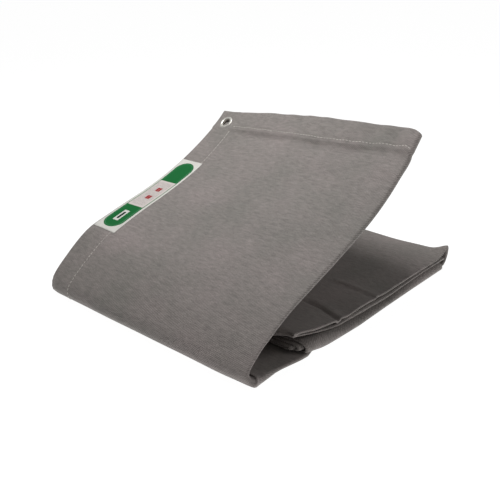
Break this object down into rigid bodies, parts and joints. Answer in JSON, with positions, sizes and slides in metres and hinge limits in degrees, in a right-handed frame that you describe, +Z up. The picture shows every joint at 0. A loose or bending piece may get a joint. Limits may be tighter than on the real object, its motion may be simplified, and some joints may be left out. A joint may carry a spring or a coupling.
{
  "type": "fire blanket",
  "caption": "Folded hemmed sheet of coated glass cloth with metal eyelets and a label, its top panel lifted and hinged along the front fold.",
  "frame": {"origin": "on the floor, at the middle of the bottom panel", "axes": "+X along the spine fold to the right, +Y from the spine fold towards the rear fold, +Z up from the floor"},
  "size_m": [0.3102, 0.3595, 0.1823],
  "materials": {
    "coated_cloth": "silicone-coated twill glass cloth, matt grey",
    "thread": "white sewing thread",
    "label_film": "white film printed in green",
    "eyelet_metal": "pressed, bright"
  },
  "bodies": {
    "pile": {"bottom_panel": "coated_cloth", "bottom_side_hem": "coated_cloth", "eyelet_bottom_left": "eyelet_metal", "eyelet_bottom_tucked": "eyelet_metal", "eyelet_tail_corner": "eyelet_metal", "eyelet_tail_left": "eyelet_metal", "eyelet_tail_middle": "eyelet_metal", "eyelet_tail_tucked": "eyelet_metal", "eyelet_tail_tucked_corner": "eyelet_metal", "eyelet_top_left": "eyelet_metal", "eyelet_top_tucked": "eyelet_metal", "front_fold": "coated_cloth", "rear_fold": "coated_cloth", "rear_tucked_plies": "coated_cloth", "spine_fold": "coated_cloth", "spine_tucked_plies": "coated_cloth", "tail_front_folds": "coated_cloth", "tail_panel_1": "coated_cloth", "tail_panel_2": "coated_cloth", "tail_panel_3": "coated_cloth", "tail_rear_folds": "coated_cloth", "top_panel": "coated_cloth", "top_side_hem": "coated_cloth", "top_side_stitching": "thread", "washer_bottom_left": "eyelet_metal", "washer_bottom_tucked": "eyelet_metal", "washer_tail_corner": "eyelet_metal", "washer_tail_left": "eyelet_metal", "washer_tail_middle": "eyelet_metal", "washer_tail_tucked": "eyelet_metal", "washer_tail_tucked_corner": "eyelet_metal", "washer_top_left": "eyelet_metal", "washer_top_tucked": "eyelet_metal"},
    "flap": {"eyelet_flap_corner": "eyelet_metal", "eyelet_flap_middle": "eyelet_metal", "eyelet_flap_tucked_corner": "eyelet_metal", "flap_panel": "coated_cloth", "flap_side_hem": "coated_cloth", "flap_side_stitching": "thread", "flap_top_hem": "coated_cloth", "flap_top_stitching": "thread", "flap_tucked_hem": "coated_cloth", "flap_under_hem": "coated_cloth", "flap_under_stitching": "thread", "label": "label_film", "washer_flap_corner": "eyelet_metal", "washer_flap_middle": "eyelet_metal", "washer_flap_tucked_corner": "eyelet_metal"}
  },
  "joints": [
    {"name": "flap_fold", "type": "hinge", "parent": "pile", "child": "flap", "pos_m": [-0.1535, -0.1615, 0.036], "axis": [1, 0, 0], "range_deg": [-22, 155]}
  ]
}
